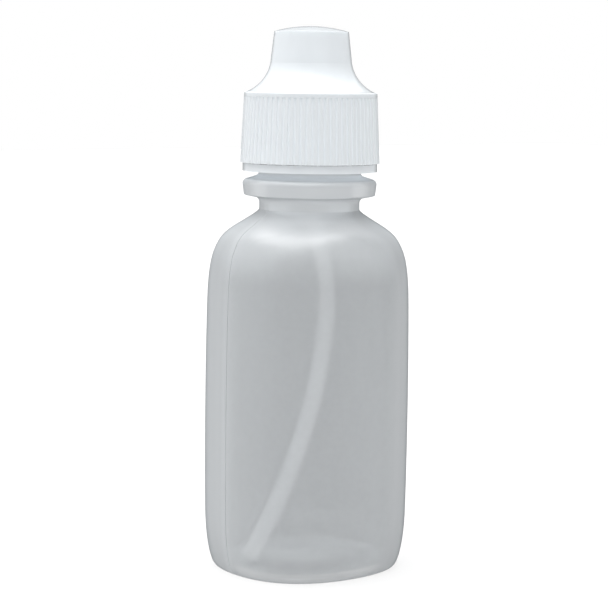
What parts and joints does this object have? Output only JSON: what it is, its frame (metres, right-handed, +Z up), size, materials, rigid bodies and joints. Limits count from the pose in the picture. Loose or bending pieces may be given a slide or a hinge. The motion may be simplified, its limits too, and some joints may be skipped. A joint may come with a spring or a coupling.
{
  "type": "dropper bottle",
  "caption": "Squeezable translucent dropper bottle with a dip tube, a press-in dropper nozzle and a ribbed screw cap over a tamper band.",
  "frame": {"origin": "centre of the standing ring, on the table", "axes": "+Z up along the neck; X along the mould's parting plane, the body's longer side; -Y is the broad face"},
  "size_m": [0.0324, 0.0302, 0.0877],
  "materials": {
    "bottle_plastic": "natural low-density polyethylene, milky and translucent, satin",
    "nozzle_plastic": "natural low-density polyethylene, satin",
    "tube_plastic": "natural polyethylene tube, smooth",
    "cap_plastic": "white moulded polypropylene, satin gloss",
    "band_plastic": "white moulded polypropylene, satin gloss",
    "seal_plastic": "soft white polyethylene"
  },
  "bodies": {
    "bottle_body": {"bottle": "bottle_plastic", "dropper_nozzle": "nozzle_plastic", "dip_tube": "tube_plastic"},
    "seal_body": {"tip_seal": "seal_plastic"},
    "cap_body": {"screw_cap": "cap_plastic"},
    "band_body": {"tamper_band": "band_plastic"}
  },
  "joints": [
    {"name": "cap_rise", "type": "slide", "parent": "bottle_body", "child": "seal_body", "axis": [0, 0, 1], "range_m": [0, 0.02223]},
    {"name": "cap_turn", "type": "hinge", "parent": "seal_body", "child": "cap_body", "pos_m": [0, 0, 0.0766], "axis": [0, 0, 1], "range_deg": [0, 2520]},
    {"name": "band_turn", "type": "hinge", "parent": "bottle_body", "child": "band_body", "pos_m": [0, 0, 0.065], "axis": [0, 0, 1], "continuous": true}
  ],
  "couplings": [
    {"joint": "cap_rise", "follows": "cap_turn", "m_per_rad": 0.00050532}
  ]
}
